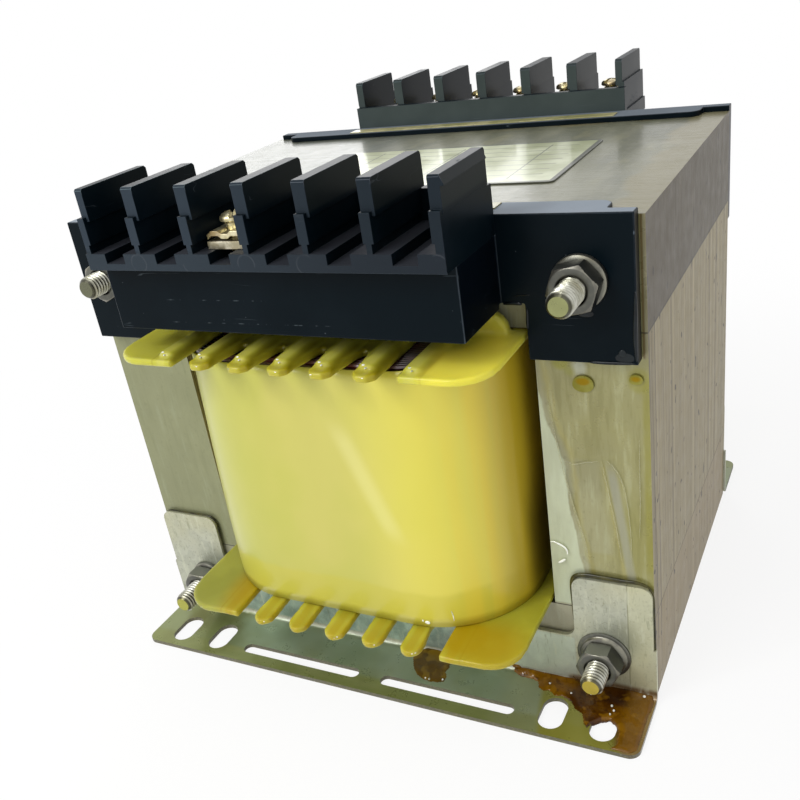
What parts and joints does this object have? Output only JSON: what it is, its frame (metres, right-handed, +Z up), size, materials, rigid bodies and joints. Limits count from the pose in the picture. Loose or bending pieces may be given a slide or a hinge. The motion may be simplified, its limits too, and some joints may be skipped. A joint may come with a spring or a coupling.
{
  "type": "control transformer",
  "caption": "Open-frame control transformer: laminated steel core on slotted feet, wrapped winding on a flanged bobbin, barriered terminal rails along the top front and back edges.",
  "frame": {"origin": "on the mounting plane under the feet, at the centre of the core in plan", "axes": "+Z up, +Y from the front towards the back across the sheet stack, +X to the right along the terminal rails"},
  "size_m": [0.1536, 0.1614, 0.143],
  "materials": {
    "core": "varnished sheet steel, satin",
    "bobbin": "translucent yellow, glossy with varnish",
    "magnet_wire": "dark red enamelled wire under varnish",
    "wrap": "glossy yellow film",
    "foot_zinc": "zinc-coated sheet with spangle and varnish stains",
    "black_plastic": "black, semi-gloss moulding",
    "terminal_nickel": "plated, slightly yellow",
    "terminal_brass": "plated brass, bright",
    "zinc_fixings": "bright zinc plate",
    "nameplate_metal": "printed metal foil, left bare but for ruled lines",
    "marker_label": "pale yellow label film"
  },
  "bodies": {
    "root": {"core_top_yoke": "core", "core_bottom_yoke": "core", "core_left_limb": "core", "core_right_limb": "core", "core_centre_limb": "core", "bobbin_tube": "bobbin", "bobbin_top_flange": "bobbin", "bobbin_bottom_flange": "bobbin", "winding": "magnet_wire", "winding_wrap": "wrap", "front_foot": "foot_zinc", "back_foot": "foot_zinc", "front_bracket": "black_plastic", "back_bracket": "black_plastic", "front_rail": "black_plastic", "back_rail": "black_plastic", "front_terminal_plate": "terminal_nickel", "back_terminal_plates": "terminal_nickel", "front_terminal_clamp": "terminal_brass", "front_terminal_screw": "terminal_brass", "back_terminal_clamps": "terminal_brass", "back_terminal_screws": "terminal_brass", "bolt_top_left": "zinc_fixings", "bolt_top_right": "zinc_fixings", "bolt_bottom_left": "zinc_fixings", "bolt_bottom_right": "zinc_fixings", "front_nuts": "zinc_fixings", "front_washers": "zinc_fixings", "back_washers": "zinc_fixings", "nameplate": "nameplate_metal", "front_marker_strip": "marker_label", "back_marker_strip": "marker_label"}
  },
  "joints": []
}
